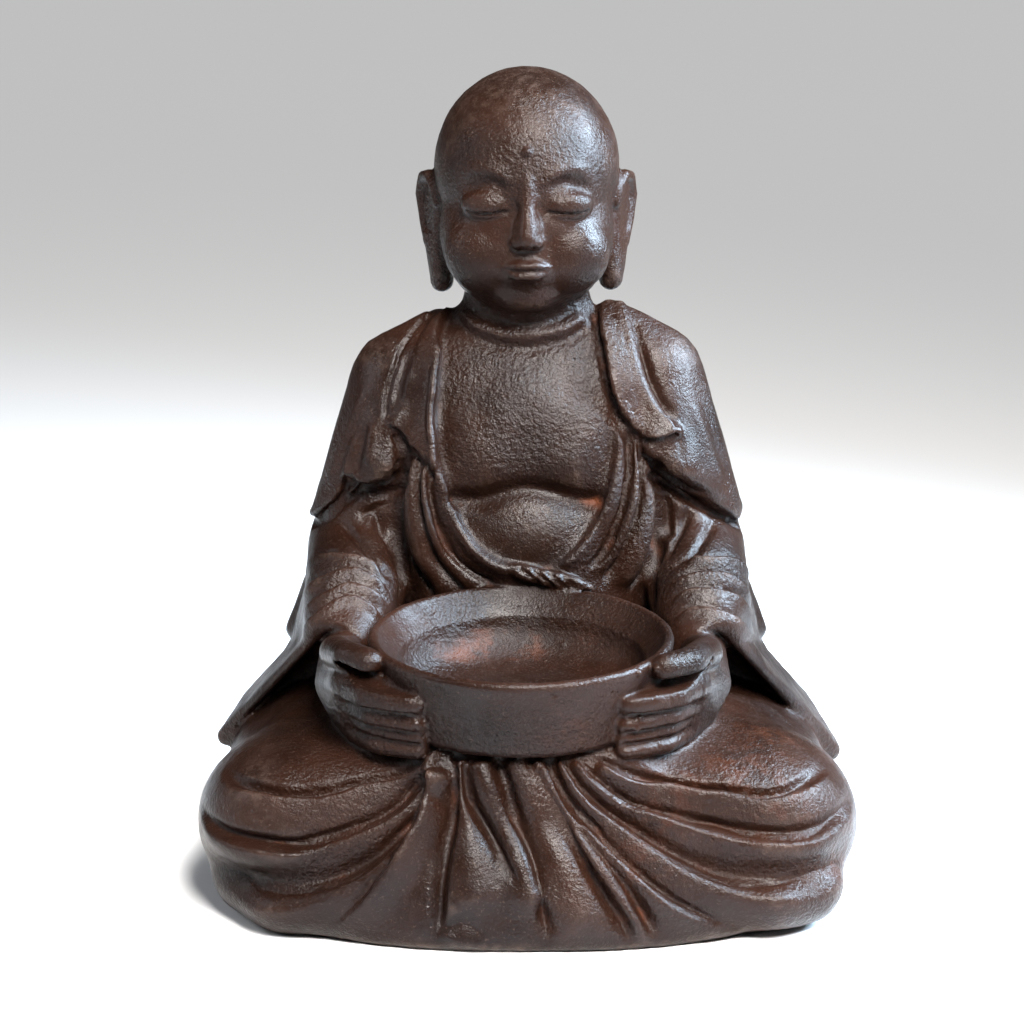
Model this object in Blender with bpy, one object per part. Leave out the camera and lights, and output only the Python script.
"""Seated monk-like buddha holding a round bowl, cast in one piece: a garden sculpture in fibreglass.

The figure faces -Y and stands on z = 0. Its pose, proportions and carving are laid out in
hundredths of its own height; the bowl, its wall and the thickness of the cloth are real sizes.
Every mass is roughed out from balls, ellipsoids and rings, melted together by a voxel remesh,
and then carved: a stroke follows the surface along a short smooth curve and lifts or cuts it.
"""

import math

import bmesh
import bpy
import numpy as np
from mathutils import Matrix, Vector
from mathutils.bvhtree import BVHTree

# Driving sizes, in metres unless a comment says otherwise
HEIGHT = 0.600  # ground to crown
BOWL_RIM_RADIUS = 0.112
BOWL_FOOT_RADIUS = 0.094
BOWL_HEIGHT = 0.056
BOWL_WALL = 0.0085
BOWL_FLOOR = 0.013
BOWL_LEAN = 3.5  # degrees, towards the front
TRIANGLES = 9600  # faces left after thinning
GRAIN = 0.0030  # voxel size of the roughed-out masses
FINE_WEIGHT = 0.006  # how strongly the face, hands and bowl keep their triangles
FOOT_TRIM = 0.0012  # cut off below, so that it stands flat

U = HEIGHT / 100  # one hundredth of the height
BOWL_CENTRE = (-0.5, -30.5)  # x and y of the bowl's axis, in hundredths
LAP_TOP = 23.6  # height of the lap under the bowl, in hundredths
FINGER_LEVELS = (29.5, 26.7, 24.2, 22.1)  # heights of the four fingers, in hundredths
RIGHT_SHOULDER = (0.15, 0, 0.7)  # the right shoulder sits a little higher and wider


def clear_scene():
    for thing in list(bpy.data.objects):
        bpy.data.objects.remove(thing)


# Rough shapes: each adds one closed shell to a bmesh, in hundredths of the height


def ellipsoid(bm, centre, radii, turn=(0, 0, 0)):
    """A ball stretched to three radii and turned, in degrees, about X, Y and Z."""
    spin = Matrix.Identity(4)
    for angle, axis in zip(turn, "XYZ"):
        spin = Matrix.Rotation(math.radians(angle), 4, axis) @ spin
    place = Matrix.Translation(centre) @ spin @ Matrix.Diagonal((*radii, 1))
    bmesh.ops.create_icosphere(bm, subdivisions=4, radius=1, matrix=place)


def hull(bm, *balls):
    """The skin stretched round a few balls, each given as (x, y, z, radius)."""
    cloud = bmesh.new()
    for x, y, z, radius in balls:
        bmesh.ops.create_icosphere(
            cloud, subdivisions=3, radius=radius, matrix=Matrix.Translation((x, y, z))
        )
    points = [v.co.copy() for v in cloud.verts]
    cloud.clear()
    verts = [cloud.verts.new(p) for p in points]
    made = bmesh.ops.convex_hull(cloud, input=verts)
    bmesh.ops.delete(cloud, geom=made["geom_interior"], context="VERTS")
    loose = [v for v in cloud.verts if not v.link_faces]
    bmesh.ops.delete(cloud, geom=loose, context="VERTS")
    bmesh.ops.recalc_face_normals(cloud, faces=cloud.faces)
    add(bm, cloud)


def chain(bm, *balls):
    """A limb or finger: a hull from each ball to the next."""
    for first, second in zip(balls, balls[1:]):
        hull(bm, first, second)


def add(bm, other):
    """Puts another bmesh's shell beside what bm already holds, and frees it."""
    mesh = bpy.data.meshes.new("shell")
    other.to_mesh(mesh)
    other.free()
    bm.from_mesh(mesh)
    bpy.data.meshes.remove(mesh)


def loft(bm, rings, squareness=2.0, segments=64):
    """A skin over level rings, each (z, half width, front y, back y), closed top and bottom."""
    shell = bmesh.new()
    last = None
    for z, half_width, front, back in rings:
        made = bmesh.ops.create_circle(shell, segments=segments, radius=1)
        for v in made["verts"]:
            angle = math.atan2(v.co.y, v.co.x)
            c, s = math.cos(angle), math.sin(angle)
            x = math.copysign(abs(c) ** (2 / squareness), c) * half_width
            y = math.copysign(abs(s) ** (2 / squareness), s) * (back - front) / 2
            v.co = (x, y + (back + front) / 2, z)
        edges = list({e for v in made["verts"] for e in v.link_edges})
        if last:
            bmesh.ops.bridge_loops(shell, edges=last + edges)
        last = edges
    ends = [e for e in shell.edges if len(e.link_faces) == 1]
    bmesh.ops.holes_fill(shell, edges=ends, sides=0)
    bmesh.ops.recalc_face_normals(shell, faces=shell.faces)
    add(bm, shell)


def mirrored(balls, side):
    return [(side * x, y, z, radius) for x, y, z, radius in balls]


# From shells to one smooth skin


def to_object(name, bm, scale=1.0):
    mesh = bpy.data.meshes.new(name)
    bmesh.ops.scale(bm, vec=(scale,) * 3, verts=bm.verts)
    bm.to_mesh(mesh)
    bm.free()
    thing = bpy.data.objects.new(name, mesh)
    bpy.context.scene.collection.objects.link(thing)
    return thing


def apply_modifiers(thing):
    graph = bpy.context.evaluated_depsgraph_get()
    mesh = bpy.data.meshes.new_from_object(thing.evaluated_get(graph))
    thing.modifiers.clear()
    thing.data = mesh


def melt(thing, voxel, smoothing):
    """Fuses overlapping shells into one skin and softens where they meet."""
    remesh = thing.modifiers.new("melt", "REMESH")
    remesh.mode = "VOXEL"
    remesh.voxel_size = voxel
    apply_modifiers(thing)
    soften(thing, smoothing)


def soften(thing, times):
    bm = bmesh.new()
    bm.from_mesh(thing.data)
    for _ in range(times):
        bmesh.ops.smooth_vert(
            bm, verts=bm.verts, factor=0.5, use_axis_x=True, use_axis_y=True, use_axis_z=True
        )
    bm.to_mesh(thing.data)
    bm.free()


def carve_out(thing, cutter):
    """Takes the cutter's volume out of the thing."""
    cut = thing.modifiers.new("carve", "BOOLEAN")
    cut.operation = "DIFFERENCE"
    cut.object = cutter
    apply_modifiers(thing)
    bpy.data.objects.remove(cutter)


# Carving: strokes and raised areas laid over a melted mass


def smooth_curve(points, count):
    """A smooth curve through a few points, as count evenly spread ones."""
    knots = np.array(points, dtype=float)
    padded = np.vstack([2 * knots[0] - knots[1], knots, 2 * knots[-1] - knots[-2]])
    fine = []
    for first in range(len(knots) - 1):
        a, b, c, d = padded[first : first + 4]
        for t in np.linspace(0, 1, 16, endpoint=False):
            bend = (2 * a - 5 * b + 4 * c - d) * t**2 + (3 * b - a - 3 * c + d) * t**3
            fine.append((2 * b + (c - a) * t + bend) / 2)
    fine = np.array(fine + [knots[-1]])
    run = np.concatenate([[0], np.cumsum(np.linalg.norm(np.diff(fine, axis=0), axis=1))])
    stops = np.linspace(0, run[-1], count)
    return np.stack([np.interp(stops, run, fine[:, i]) for i in range(fine.shape[1])], axis=1)


def ease(values):
    """0 below 0, 1 above 1 and a smooth rise between."""
    values = np.clip(values, 0, 1)
    return values * values * (3 - 2 * values)


def roll(q):
    """A rounded ridge or hollow; q runs from 0 on the path to 1 at the stroke's edge."""
    return (1 - q * q) ** 2


def vee(q):
    """A crease, sharp along the path."""
    return (1 - q) ** 1.6


class Clay:
    """A melted mass while it is carved, its points in hundredths of the height."""

    def __init__(self, thing):
        self.thing = thing
        self.points = np.empty(len(thing.data.vertices) * 3)
        self.outward = np.empty(len(thing.data.vertices) * 3)
        thing.data.vertices.foreach_get("co", self.points)
        self.points = self.points.reshape(-1, 3) / U
        self.settle(relay=True)

    def settle(self, relay=False):
        """Writes the points back and reads the outward directions of the carved skin; relay
        also makes the carved skin the one that later paths are laid on."""
        mesh = self.thing.data
        mesh.vertices.foreach_set("co", (self.points * U).ravel())
        mesh.update()
        outward = np.empty(len(mesh.vertices) * 3)
        mesh.vertices.foreach_get("normal", outward)
        self.outward = outward.reshape(-1, 3)
        if relay:
            faces = [tuple(face.vertices) for face in mesh.polygons]
            self.tree = BVHTree.FromPolygons(self.points.tolist(), faces)

    def lay(self, path, count=28):
        """A path of rough points brought down onto the skin, with its outward directions."""
        line = []
        facing = []
        for point in smooth_curve(path, count):
            place, normal, _, _ = self.tree.find_nearest(point.tolist())
            line.append(place)
            facing.append(normal)
        return np.array(line), np.array(facing)

    def stroke(self, path, width, height, shape=vee, taper=(0.2, 0.2)):
        """Lifts (or with a negative height cuts) the skin along a path."""
        line, facing = self.lay(path)
        reach = width * 1.05
        inside = (self.points > line.min(0) - reach) & (self.points < line.max(0) + reach)
        near = np.flatnonzero(inside.all(1))
        points = self.points[near]
        best = np.full(len(near), np.inf)
        share = np.zeros(len(near))
        outward = np.zeros((len(near), 3))
        for index in range(len(line) - 1):
            start = line[index]
            along = line[index + 1] - start
            length = along @ along
            if length < 1e-9:
                continue
            t = np.clip((points - start) @ along / length, 0, 1)
            gap = points - start - t[:, None] * along
            distance = np.einsum("ij,ij->i", gap, gap)
            closer = distance < best
            best[closer] = distance[closer]
            share[closer] = (index + t[closer]) / (len(line) - 1)
            outward[closer] = facing[index]
        q = np.sqrt(best) / width
        agree = np.einsum("ij,ij->i", outward, self.outward[near])
        fade = np.ones(len(near))
        if taper[0]:
            fade *= ease(share / taper[0])
        if taper[1]:
            fade *= ease((1 - share) / taper[1])
        amount = shape(np.clip(q, 0, 1)) * fade * ease(agree * 2) * height
        self.points[near] += self.outward[near] * amount[:, None]

    def area(self, outline, height, edge, facing=(0, -1, 0)):
        """Lifts or sinks what lies inside a smooth outline of (x, z) points seen from the front."""
        loop = smooth_curve(list(outline) + [outline[0]], 90)[:-1]
        reach = edge + 0.5
        flat = self.points[:, [0, 2]]
        inside = (flat > loop.min(0) - reach) & (flat < loop.max(0) + reach)
        near = np.flatnonzero(inside.all(1) & (self.outward @ np.array(facing) > 0.05))
        flat = flat[near]
        best = np.full(len(near), np.inf)
        within = np.zeros(len(near), dtype=bool)
        for start, end in zip(loop, np.roll(loop, -1, axis=0)):
            along = end - start
            t = np.clip((flat - start) @ along / (along @ along), 0, 1)
            best = np.minimum(best, np.linalg.norm(flat - start - t[:, None] * along, axis=1))
            straddles = (start[1] > flat[:, 1]) != (end[1] > flat[:, 1])
            rise = along[1] if abs(along[1]) > 1e-9 else 1e-9
            crossing = start[0] + (flat[:, 1] - start[1]) * along[0] / rise
            within ^= straddles & (flat[:, 0] < crossing)
        signed = np.where(within, best, -best)
        amount = ease(signed / edge / 2 + 0.5) * height
        steep = ease(self.outward[near] @ np.array(facing) * 3)
        self.points[near] += self.outward[near] * (amount * steep)[:, None]

    def folds(self, paths, width, depth, swell=0.5, taper=(0.15, 0.2)):
        """Cloth folds: a crease along each path and a soft roll between each and the next."""
        for first, second in zip(paths, paths[1:]):
            middle = (smooth_curve(first, 9) + smooth_curve(second, 9)) / 2
            gap = np.linalg.norm(smooth_curve(first, 9) - smooth_curve(second, 9), axis=1)
            self.stroke(middle, max(gap.mean() * 0.55, width), depth * swell, roll, taper)
        self.settle()
        for path in paths:
            self.stroke(path, width, -depth, vee, taper)
        self.settle()


# What is carved where, on the robe

LEFT_NECKLINE = [
    (-10.5, -3.0, 68.5), (-11.5, -7.0, 60.6), (-11.5, -9.0, 50.4),
    (-9.6, -11.0, 42.3), (-4.7, -13.6, 38.0), (-1.9, -13.9, 37.0),
]
RIGHT_NECKLINE = [
    (9.0, -4.0, 69.0), (10.4, -7.0, 60.0), (11.9, -9.0, 53.0),
    (10.1, -10.0, 45.4), (6.2, -13.2, 38.9), (4.2, -13.6, 37.5),
]


def flat(path):
    return [(x, z) for x, y, z in path]


def carve_chest(clay):
    chest = flat(LEFT_NECKLINE) + [(1.5, 35.5)] + flat(RIGHT_NECKLINE)[::-1] + [(0, 73)]
    clay.area(chest, -0.9, 0.45)
    clay.settle(relay=True)
    clay.stroke(LEFT_NECKLINE, 0.9, 0.45, roll, (0, 0.1))
    clay.stroke(RIGHT_NECKLINE, 0.9, 0.35, roll, (0, 0.1))
    clay.stroke(
        [(-10.9, -9.5, 45.8), (-6.5, -11, 45.6), (-2.5, -11.5, 47.2), (0.4, -11.5, 47.6),
         (3.5, -11.5, 47.0), (7, -11, 46.2), (10.2, -10, 46.6)],
        1.7, -0.9, vee, (0.05, 0.05),
    )
    clay.settle()


def carve_lapels(clay):
    left = [
        (-11.2, 69.5), (-11.5, 60), (-11.6, 54.5), (-11.4, 49.2), (-14.6, 51.6),
        (-17.9, 54.2), (-17.0, 57.0), (-14.8, 63.0), (-12.4, 69.5),
    ]
    right = [
        (9.3, 70.5), (10.0, 64), (11.2, 58.5), (13.0, 55.5), (15.4, 53.2),
        (19.9, 53.6), (17.2, 57.4), (14.8, 62.7), (12.2, 70.5),
    ]
    for outline in (left, right):
        clay.area(outline, 1.0, 0.35)
    clay.settle(relay=True)


def carve_cape(clay):
    left_hem = [
        (-17.4, -7, 53.5), (-16.4, -9, 49.1), (-19.6, -8.7, 47.2), (-23.4, -5, 46.6),
        (-26.5, -3, 43.0), (-28.2, 0, 41.2),
    ]
    right_hem = [(15.0, -8, 53.0), (16.5, -9, 49.1), (22.5, -7, 45.4), (28.0, 0, 41.4)]
    for hem in (left_hem, right_hem):
        below = [(x, y, z - 0.9) for x, y, z in hem]
        clay.stroke(hem, 1.3, 0.7, roll, (0.1, 0))
        clay.stroke(below, 1.1, -0.9, vee, (0.1, 0))
    clay.settle()
    clay.folds(
        [
            [(-17.8, -6, 58.5), (-20.5, -6, 53), (-23.6, -5, 46.8)],
            [(-16.5, -5, 61.5), (-21.5, -4, 55), (-26, -3, 45.5)],
        ],
        1.2, 0.55,
    )
    clay.folds(
        [
            [(19.6, -6.4, 54.5), (20.4, -8, 50), (20.8, -8, 47.2)],
            [(18.5, -5, 60.5), (22.5, -5, 53), (25.6, -4, 45)],
        ],
        1.2, 0.55,
    )


def carve_robe(clay):
    """The under robe: the deep grooves beside the arms and the folds that follow the neckline."""
    for side in (-1, 1):
        groove = [(side * 16.4, -8, 50), (side * 16.2, -8, 42), (side * 15.6, -9, 33)]
        clay.stroke(groove, 2.2, -1.6, vee, (0.15, 0))
    clay.settle()
    clay.folds(
        [
            [(-15.4, -8.5, 50), (-14.8, -9, 43), (-12.5, -12, 36.5), (-8.5, -13, 33.5)],
            [(-13.4, -9, 49), (-12.8, -10, 43.5), (-9.5, -13, 38), (-4.5, -14, 34.8)],
            [(-12.1, -9, 47), (-11.2, -10, 43.5), (-7.8, -13, 38.8), (-3, -14, 36)],
        ],
        1.0, 0.6,
    )
    clay.folds(
        [
            [(15.6, -8.5, 50), (15.2, -9, 44), (13.6, -11, 37.5), (10.6, -12.5, 33.6)],
            [(14.0, -9, 50), (13.5, -10, 45), (11.4, -12, 38.5), (8.2, -13, 34.4)],
            [(12.7, -9, 50), (12.0, -10, 45), (9.2, -12, 39.4), (5.6, -13.5, 36.2)],
        ],
        1.0, 0.6,
    )
    for x in (-1.6, 0.6, 2.8, 5.0):
        clay.stroke([(x, -14, 37.6), (x + 1.6, -14, 36.4), (x + 3.4, -14, 34.9)], 0.8, 0.6, roll)
    clay.settle()


def carve_sleeves(clay):
    """Creases fan out of the armpit, then ring the forearm down to the wrist."""
    fans = {
        -1: [
            [(-16.6, -8, 47.5), (-20.3, -8.5, 44.0), (-26.0, -4, 40.0)],
            [(-16.8, -9, 45.2), (-20.6, -9, 40.4), (-26.9, -9, 37.0)],
            [(-17.0, -9, 42.0), (-20.6, -13, 38.6), (-27.0, -14, 34.6)],
            [(-17.1, -9, 39.6), (-21.2, -17, 37.4), (-28.0, -17, 32.0)],
            [(-17.2, -12, 37.2), (-21.2, -20, 35.6), (-28.2, -17, 29.4)],
        ],
        1: [
            [(17.0, -8, 48.5), (21.2, -8, 43.6), (27.5, -3, 38.5)],
            [(17.2, -9, 46.2), (21.6, -9, 40.4), (28.0, -5, 34.8)],
            [(17.4, -9, 42.3), (22.1, -14, 38.5), (28.6, -7, 31.8)],
            [(17.5, -10, 38.9), (22.5, -18, 37.2), (28.2, -15, 31.6)],
            [(17.6, -14, 36.2), (22.3, -21, 35.4), (27.4, -18, 30.8)],
        ],
    }
    for side in (-1, 1):
        clay.folds(fans[side], 1.4, 1.1, 0.5, (0.08, 0.25))


def carve_legs(clay):
    """The robe fans out from under the bowl and wraps round both knees."""
    clay.folds(
        [
            [(8.5, -42.7, 21.6), (14.5, -42, 18.7), (25.2, -42.2, 17.1), (38.5, -31, 17.5)],
            [(6.7, -43.8, 22.0), (13.3, -44, 16.7), (20.4, -44.5, 13.4), (40.5, -32, 12)],
            [(4.9, -44.3, 22.1), (10.8, -45.4, 15.3), (19.1, -46.8, 10.2), (39.5, -36, 6.6)],
            [(3.8, -44.4, 22.2), (8.5, -45.8, 16.1), (14.3, -47.7, 10.6), (22, -48, 3.6)],
        ],
        1.8, 1.8, 0.55, (0.04, 0.2),
    )
    clay.folds(
        [
            [(-11.1, -41.3, 21.1), (-15.3, -41.3, 18.9), (-27.1, -43.4, 16.5), (-38.5, -32, 17)],
            [(-10.8, -41.0, 20.4), (-15.2, -43.7, 16.6), (-29.3, -45.9, 12.4), (-40, -34, 12.4)],
            [(-10.6, -41.6, 19.6), (-13.9, -45.3, 14.7), (-25.9, -45.5, 7.2), (-39, -36, 7.4)],
            [(-10.3, -40.8, 20.6), (-12.7, -46.1, 13.7), (-17.4, -48.4, 7.1), (-24, -47, 1.8)],
        ],
        1.8, 1.8, 0.55, (0.04, 0.2),
    )
    clay.folds(
        [
            [(-9.3, -40.6, 20.9), (-8.6, -47.7, 11.8), (-10.9, -50.6, 1.0)],
            [(-7.0, -43, 20.6), (-4.8, -47.3, 12.9), (-1.0, -51, 3.0)],
            [(-2.1, -44.4, 22.2), (0.2, -46.8, 13.9), (2.6, -51.1, 1.0)],
            [(2.0, -44.4, 22.2), (5.5, -46.0, 16.2), (8.4, -48.8, 9.7), (11.9, -50.6, 1.0)],
        ],
        1.8, 1.7, 0.55, (0.05, 0),
    )


def carve_back(clay):
    """Plainer folds down the back and round the seat."""
    for side in (-1, 1):
        clay.folds(
            [
                [(side * 3.0, 12, 58), (side * 4.5, 14, 42), (side * 5.5, 15, 26)],
                [(side * 8.5, 11, 58), (side * 10.5, 13, 42), (side * 12.5, 15, 26)],
                [(side * 15.5, 8, 56), (side * 17.5, 10, 44), (side * 20, 12, 32)],
            ],
            1.6, 0.8, 0.5, (0.25, 0.2),
        )
        clay.folds(
            [
                [(side * 2, 18, 22), (side * 18, 16, 17), (side * 34, 3, 9)],
                [(side * 2, 18, 14), (side * 18, 17, 10), (side * 34, 4, 4)],
            ],
            1.6, 0.8, 0.5, (0.3, 0.2),
        )


def carve_hands(clay):
    """Creases between the fingers and between thumb and palm."""
    for side in (-1, 1):
        for above, below in zip(FINGER_LEVELS, FINGER_LEVELS[1:]):
            z = (above + below) / 2
            path = [bowl_point(side, a, out, z, 0)[:3] for a, out in ((10, 5.5), (28, 4), (47, 2))]
            clay.stroke(path, 0.9, -0.9, vee, (0.25, 0))
    clay.settle()


def carve_head(clay):
    for side in (-1, 1):
        clay.stroke(
            [(side * 2.0, -12.6, 86.2), (side * 5.0, -12, 88.0), (side * 8.8, -9.5, 86.6)],
            1.2, 0.35, roll, (0.1, 0.2),
        )
        clay.stroke(
            [(side * 2.0, -12, 84.6), (side * 5.0, -11, 85.6), (side * 8.4, -9.0, 84.4)],
            1.3, -0.55, roll, (0.15, 0.2),
        )
        clay.stroke(
            [(side * 2.2, -12, 82.9), (side * 4.8, -12.2, 82.1), (side * 7.6, -10, 83.0)],
            0.7, -0.5, vee, (0.1, 0.15),
        )
    clay.stroke([(-2.9, -12.5, 74.9), (0, -13.6, 74.6), (2.9, -12.5, 74.9)], 0.7, -0.5)
    clay.settle()


# The masses of the figure


def lap_and_legs(bm):
    """Crossed legs under the robe: a low wide mound with a knee at each front corner."""
    loft(
        bm,
        [
            (0.0, 36.0, -51.0, 14.0),
            (1.5, 38.0, -51.5, 15.5),
            (6.0, 39.6, -50.5, 16.5),
            (11.0, 39.6, -48.5, 16.5),
            (16.0, 37.0, -45.5, 15.5),
            (20.0, 31.0, -42.0, 14.0),
            (23.0, 22.0, -39.0, 11.0),
            (23.8, 14.0, -34.0, 6.0),
        ],
        squareness=2.6,
    )
    for side in (-1, 1):
        ellipsoid(bm, (side * 27.3, -30.0, 10.5), (13.2, 16.5, 10.8), (0, 0, side * 14))
        hull(
            bm,
            *mirrored([(33, -36.5, 5.6, 5.7), (28, -41.8, 5.2, 5.6), (17, -43, 5.0, 5.8)], side),
        )
    hull(bm, (33.0, -40.5, 5.4, 5.2), (28.5, -43.0, 5.2, 5.2), (30, -32, 8, 7))
    hull(bm, (-9, -43, 5, 5), (11, -43, 5, 5), (-5, -41.5, 19, 4), (6, -41.5, 19, 4))
    hull(bm, (-12, -39, 18, 4.5), (12, -39, 18, 4.5), (-9, -41, 19.6, 3.6), (9, -41, 19.6, 3.6))
    hull(bm, (-14, -30, 20, 4), (14, -30, 20, 4), (-10, -40, 20, 3.6), (10, -40, 20, 3.6))
    for side in (-1, 1):
        hull(bm, *mirrored([(10, -38, 12, 8), (24, -36, 11, 9.5), (24, -24, 12, 9)], side))


def torso(bm):
    loft(
        bm,
        [
            (10.0, 20.0, -13.0, 15.0),
            (22.0, 18.5, -13.5, 14.5),
            (32.0, 17.0, -13.5, 13.5),
            (40.0, 16.5, -13.0, 12.5),
            (48.0, 17.0, -11.5, 12.0),
            (55.0, 18.5, -10.5, 11.5),
            (60.0, 19.0, -9.0, 10.5),
            (64.0, 16.5, -7.0, 9.0),
            (67.0, 11.5, -6.0, 7.5),
            (69.5, 8.5, -6.0, 6.5),
            (74.0, 7.5, -6.0, 6.0),
        ],
        squareness=2.2,
    )
    for side in (-1, 1):
        ellipsoid(bm, (side * 5.8, -5.4, 53.8), (8.4, 5.5, 7.6))
        hull(bm, (side * 8, 2, 66, 3), (side * 17, 2, 60.5, 4.5), (side * 15, 6, 58, 4))
        ellipsoid(bm, (side * 10.5, -3.5, 42.0), (7.2, 8.0, 14.0))
    ellipsoid(bm, (0, -4.6, 55.0), (10.0, 6.2, 8.0))
    ellipsoid(bm, (0, -5.8, 39.0), (13.5, 8.4, 10.0))


def arms(bm):
    for side in (-1, 1):
        chain(
            bm,
            *mirrored(
                [
                    (15.6, 1.5, 59.0, 6.0),
                    (18.6, 1.5, 48.0, 6.6),
                    (21.4, 1.0, 36.5, 7.8),
                    (22.4, -9.0, 33.5, 6.7),
                    (22.3, -17.0, 31.5, 5.6),
                ],
                side,
            ),
        )


def cape(bm):
    """The short upper robe: a looser skin over each shoulder that ends above the elbow."""
    for side in (-1, 1):
        shell = bmesh.new()
        hull(
            shell,
            *mirrored(
                [
                    (11.0, 2.0, 63.5, 5.0),
                    (15.6, 1.5, 58.8, 7.3),
                    (18.7, 2.5, 44.0, 8.0),
                    (21.0, 1.5, 38.0, 8.0),
                    (17.0, -3.0, 47.0, 6.4),
                ],
                side,
            ),
        )
        cut_below(shell, Vector((side * 28.0, 0, 41.3)), Vector((side * -0.62, -0.15, -1.0)))
        if side > 0:
            bmesh.ops.translate(shell, vec=RIGHT_SHOULDER, verts=shell.verts)
        add(bm, shell)
    for side in (-1, 1):
        hull(bm, *mirrored([(9, 3.5, 62, 5), (15, 6.5, 40, 6.5), (14, 8.5, 20, 7)], side))
        hull(bm, *mirrored([(15, 4, 57, 6), (19.5, 4.5, 42, 6.5), (15, 6.5, 38, 6.5)], side))
        hull(bm, *mirrored([(17, 6, 40, 5), (20, 6, 22, 5), (31, 2, 20, 2.5), (14, 8, 22, 6)], side))
    hull(bm, (-9, 3.5, 62, 5), (9, 3.5, 62, 5), (-11, 8.5, 20, 7), (11, 8.5, 20, 7))
    hull(bm, (-7.0, 3.5, 65.5, 3.2), (7.0, 3.5, 65.5, 3.2), (0, 6.0, 65.8, 3.4), (0, 5, 58, 6))


def cut_below(bm, point, outward):
    """Cuts a closed shell with a plane, drops what lies on its outward side and closes the cut."""
    geom = bm.verts[:] + bm.edges[:] + bm.faces[:]
    bmesh.ops.bisect_plane(
        bm, geom=geom, plane_co=point, plane_no=outward, clear_outer=True
    )
    rim = [e for e in bm.edges if len(e.link_faces) == 1]
    bmesh.ops.holes_fill(bm, edges=rim, sides=0)
    bmesh.ops.recalc_face_normals(bm, faces=bm.faces)


def sleeves(bm):
    """Bell sleeves: each falls from the forearm to a corner outside the knee, open to the front."""
    for side in (-1, 1):
        shell = bmesh.new()
        hull(
            shell,
            *mirrored(
                [
                    (21.4, 0.0, 34.0, 6.6),
                    (22.6, -17.0, 31.5, 5.4),
                    (28.3, -11.0, 22.6, 2.6),
                    (28.0, 2.0, 24.0, 3.5),
                    (24.0, -16.0, 20.0, 3.0),
                ],
                side,
            ),
        )
        hull(
            shell,
            *mirrored(
                [
                    (28.0, -10.5, 22.8, 2.6),
                    (28.0, 2.0, 22.0, 3.5),
                    (40.6, -8.0, 11.2, 1.5),
                    (35.2, 3.5, 13.0, 4.0),
                    (25.0, -12.0, 17.0, 3.0),
                ],
                side,
            ),
        )
        sleeve = to_object("sleeve", shell)
        melt(sleeve, GRAIN / U, 0)
        hollow = bmesh.new()
        hull(
            hollow,
            *mirrored(
                [
                    (25.0, -27.0, 31.0, 1.5),
                    (25.5, -17.0, 30.0, 2.5),
                    (38.8, -14.0, 11.4, 1.0),
                    (36.5, -7.5, 13.0, 1.0),
                    (25.0, -28.0, 17.0, 2.0),
                    (26.5, -7.5, 17.0, 2.0),
                    (26.8, -8.5, 25.0, 2.0),
                ],
                side,
            ),
        )
        carve_out(sleeve, to_object("sleeve_hollow", hollow))
        shell = bmesh.new()
        shell.from_mesh(sleeve.data)
        bpy.data.objects.remove(sleeve)
        add(bm, shell)
        hull(bm, *mirrored([(21.6, 2, 37, 6), (31.0, 1.0, 25.2, 1.4), (26, 9, 24, 3)], side))


def head(bm):
    ellipsoid(bm, (0, 0.5, 87.2), (12.0, 13.0, 12.8))
    ellipsoid(bm, (0, -2.2, 79.5), (11.4, 10.4, 11.4))
    hull(bm, (0, 0.5, 75, 7.2), (0, 1.8, 64, 7.0))
    chain(bm, (0, -11.6, 86.0, 0.8), (0, -12.7, 82.0, 0.95), (0, -14.0, 78.6, 1.3))
    ellipsoid(bm, (0, -12.3, 75.6), (2.9, 1.6, 0.85))
    ellipsoid(bm, (0, -12.2, 73.9), (2.3, 1.6, 0.9))
    ellipsoid(bm, (0, -8.8, 71.4), (4.0, 2.6, 3.0))
    ellipsoid(bm, (0, -12.6, 90.2), (0.75, 0.6, 0.75))
    for side in (-1, 1):
        ellipsoid(bm, (side * 1.5, -12.9, 78.2), (1.1, 1.2, 0.9))
        ellipsoid(bm, (side * 5.2, -8.3, 77.0), (5.0, 4.4, 5.0))
        ellipsoid(bm, (side * 4.9, -9.9, 83.2), (3.1, 2.3, 1.9), (0, 0, side * 14))
    for side in (-1, 1):
        hull(
            bm,
            *mirrored(
                [
                    (12.8, 2.6, 86.4, 1.5),
                    (13.5, 4.8, 84.6, 1.3),
                    (13.3, 4.4, 79.5, 1.2),
                    (12.2, 0.2, 83.0, 1.2),
                    (12.0, 0.4, 76.5, 1.2),
                ],
                side,
            ),
        )
        hull(bm, *mirrored([(13.0, 3.6, 79, 1.3), (12.0, 0.8, 77, 1.3), (11.8, 1.6, 71.8, 1.8)], side))


def bowl_point(side, angle, out, z, radius):
    """A ball beside the bowl: angle from its left or right side round to the front, in degrees,
    and how far out from the wall it lies, in hundredths."""
    share = min(max((z - LAP_TOP) * U / BOWL_HEIGHT, 0), 1)
    wall = (BOWL_FOOT_RADIUS + (BOWL_RIM_RADIUS - BOWL_FOOT_RADIUS) * share) / U
    turn = math.radians(angle)
    return (
        BOWL_CENTRE[0] + side * (wall + out) * math.cos(turn),
        BOWL_CENTRE[1] - (wall + out) * math.sin(turn),
        z,
        radius,
    )


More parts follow.
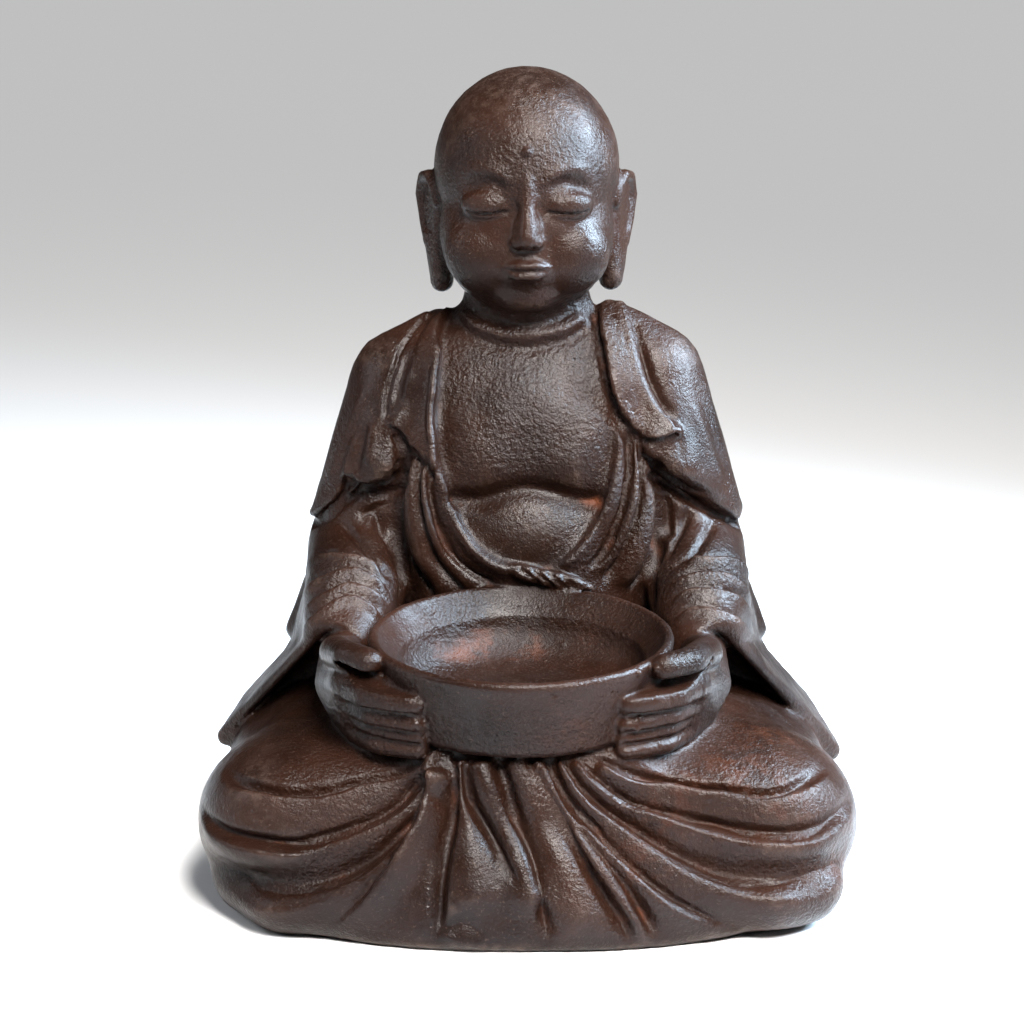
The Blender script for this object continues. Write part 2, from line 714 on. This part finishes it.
def hands(bm):
    """Each palm lies beside the bowl, four fingers wrap its wall and the thumb hooks its rim."""
    for side, thumb_reach in ((-1, 27), (1, 32)):
        wrist = (side * 23.6, -19.0, 29.8, 4.3)
        knuckles = []
        for z, thick in zip(FINGER_LEVELS, (1.0, 0.97, 0.88, 0.78)):
            joints = [
                bowl_point(side, angle, out, z, radius * thick)
                for angle, out, radius in (
                    (1, 4.6, 2.35),
                    (18, 3.1, 2.05),
                    (32, 1.9, 1.85),
                    (45, 0.8, 1.6),
                )
            ]
            chain(bm, *joints)
            knuckles.append(joints[0])
        hull(bm, wrist, *knuckles)
        hull(bm, wrist, bowl_point(side, -8, 4.2, 31.2, 2.6), knuckles[0])
        chain(
            bm,
            bowl_point(side, -9, 4.2, 31.2, 2.6),
            bowl_point(side, 9, 4.0, 32.4, 2.1),
            bowl_point(side, thumb_reach, 0.8, 32.9, 1.75),
        )


def bowl():
    """The bowl as a turned profile, with a rounded lip, leaning a little to the front."""
    lip = BOWL_WALL / 2
    inner_foot = BOWL_FOOT_RADIUS - BOWL_WALL
    profile = [Vector((0, 0, 0))]
    profile += [Vector((BOWL_FOOT_RADIUS - lip, 0, 0)), Vector((BOWL_FOOT_RADIUS, 0, lip))]
    for step in range(7):
        turn = math.pi * step / 6
        profile.append(
            Vector(
                (
                    BOWL_RIM_RADIUS - lip + lip * math.cos(turn),
                    0,
                    BOWL_HEIGHT - lip + lip * math.sin(turn),
                )
            )
        )
    corner = 0.35 * (BOWL_HEIGHT - BOWL_FLOOR)
    for step in range(5):
        turn = math.pi / 2 * step / 4
        profile.append(
            Vector(
                (
                    inner_foot - corner * (1 - math.cos(turn)),
                    0,
                    BOWL_FLOOR + corner * (1 - math.sin(turn)),
                )
            )
        )
    profile.append(Vector((0, 0, BOWL_FLOOR)))
    bm = bmesh.new()
    verts = [bm.verts.new(p) for p in profile]
    edges = [bm.edges.new(pair) for pair in zip(verts, verts[1:])]
    bmesh.ops.spin(
        bm,
        geom=verts + edges,
        cent=(0, 0, 0),
        axis=(0, 0, 1),
        angle=math.tau,
        steps=96,
        use_merge=True,
    )
    bmesh.ops.remove_doubles(bm, verts=bm.verts, dist=1e-6)
    bmesh.ops.recalc_face_normals(bm, faces=bm.faces)
    lean = Matrix.Rotation(math.radians(BOWL_LEAN), 4, "X")
    place = Matrix.Translation((BOWL_CENTRE[0] * U, BOWL_CENTRE[1] * U, LAP_TOP * U))
    bmesh.ops.transform(bm, matrix=place @ lean, verts=bm.verts)
    return to_object("bowl", bm)


def mass(name, makers, voxel, smoothing):
    """One melted mass of the figure, from the functions that rough it out."""
    bm = bmesh.new()
    for make in makers:
        make(bm)
    thing = to_object(name, bm, U)
    melt(thing, voxel, smoothing)
    return thing


def join(things, name):
    """All the masses as one object, still overlapping."""
    bm = bmesh.new()
    for thing in things:
        bm.from_mesh(thing.data)
        bpy.data.objects.remove(thing)
    return to_object(name, bm)


def trim_foot(thing):
    """Cuts the underside flat, so that the whole rim of the base touches the ground."""
    bm = bmesh.new()
    bm.from_mesh(thing.data)
    cut_below(bm, Vector((0, 0, FOOT_TRIM)), Vector((0, 0, -1)))
    bm.to_mesh(thing.data)
    bm.free()


def thin_out(thing, faces):
    """Keeps the given number of triangles, most of them where the form turns tightly and on
    the face, the hands and the bowl, where small forms count most."""
    places = np.array([v.co[:] for v in thing.data.vertices]) / U
    face = (places[:, 2] > 70) & (places[:, 1] < -6)
    beside = np.hypot(places[:, 0] - BOWL_CENTRE[0], places[:, 1] - BOWL_CENTRE[1])
    fine = face | ((places[:, 2] > 21) & (places[:, 2] < 35) & (beside < 27))
    group = thing.vertex_groups.new(name="thin")
    group.add(np.flatnonzero(~fine).tolist(), 1.0, "REPLACE")
    group.add(np.flatnonzero(fine).tolist(), 0.5, "REPLACE")
    thin = thing.modifiers.new("thin", "DECIMATE")
    thin.vertex_group = group.name
    thin.vertex_group_factor = FINE_WEIGHT
    thin.ratio = faces / sum(len(face.vertices) - 2 for face in thing.data.polygons)
    thin.use_collapse_triangulate = True
    apply_modifiers(thing)
    thing.vertex_groups.clear()


def stand_on_origin(thing):
    """Moves the mesh so that the bottom centre of its bounding box is the origin."""
    corners = np.array([v.co[:] for v in thing.data.vertices])
    low, high = corners.min(axis=0), corners.max(axis=0)
    shift = Vector((-(low[0] + high[0]) / 2, -(low[1] + high[1]) / 2, -low[2]))
    thing.data.transform(Matrix.Translation(shift))


def cast_resin():
    """Dark brown painted fibreglass."""
    material = bpy.data.materials.new("cast_fibreglass")
    material.use_nodes = True
    shader = material.node_tree.nodes["Principled BSDF"]
    shader.inputs["Base Color"].default_value = (0.060, 0.036, 0.027, 1)
    shader.inputs["Roughness"].default_value = 0.42
    shader.inputs["Metallic"].default_value = 0.0
    return material


def carve(thing, makers):
    clay = Clay(thing)
    for maker in makers:
        maker(clay)
    return thing


def build():
    clear_scene()
    lap = mass("lap", (lap_and_legs,), GRAIN * 1.5, 16)
    upper = mass("upper", (torso, arms, cape, sleeves), GRAIN, 8)
    body = join([lap, upper], "body")
    melt(body, GRAIN, 3)
    carve(
        body,
        (carve_chest, carve_cape, carve_lapels, carve_robe, carve_sleeves, carve_legs, carve_back),
    )
    top = mass("top", (head,), GRAIN * 0.5, 6)
    carve(top, (carve_head,))
    grip = mass("grip", (hands,), GRAIN * 0.5, 3)
    carve(grip, (carve_hands,))
    figure = join([body, top, grip, bowl()], "buddha_sculpture")
    melt(figure, GRAIN * 0.8, 1)
    trim_foot(figure)
    thin_out(figure, TRIANGLES)
    stand_on_origin(figure)
    figure.data.materials.append(cast_resin())


if __name__ == "__main__":
    build()
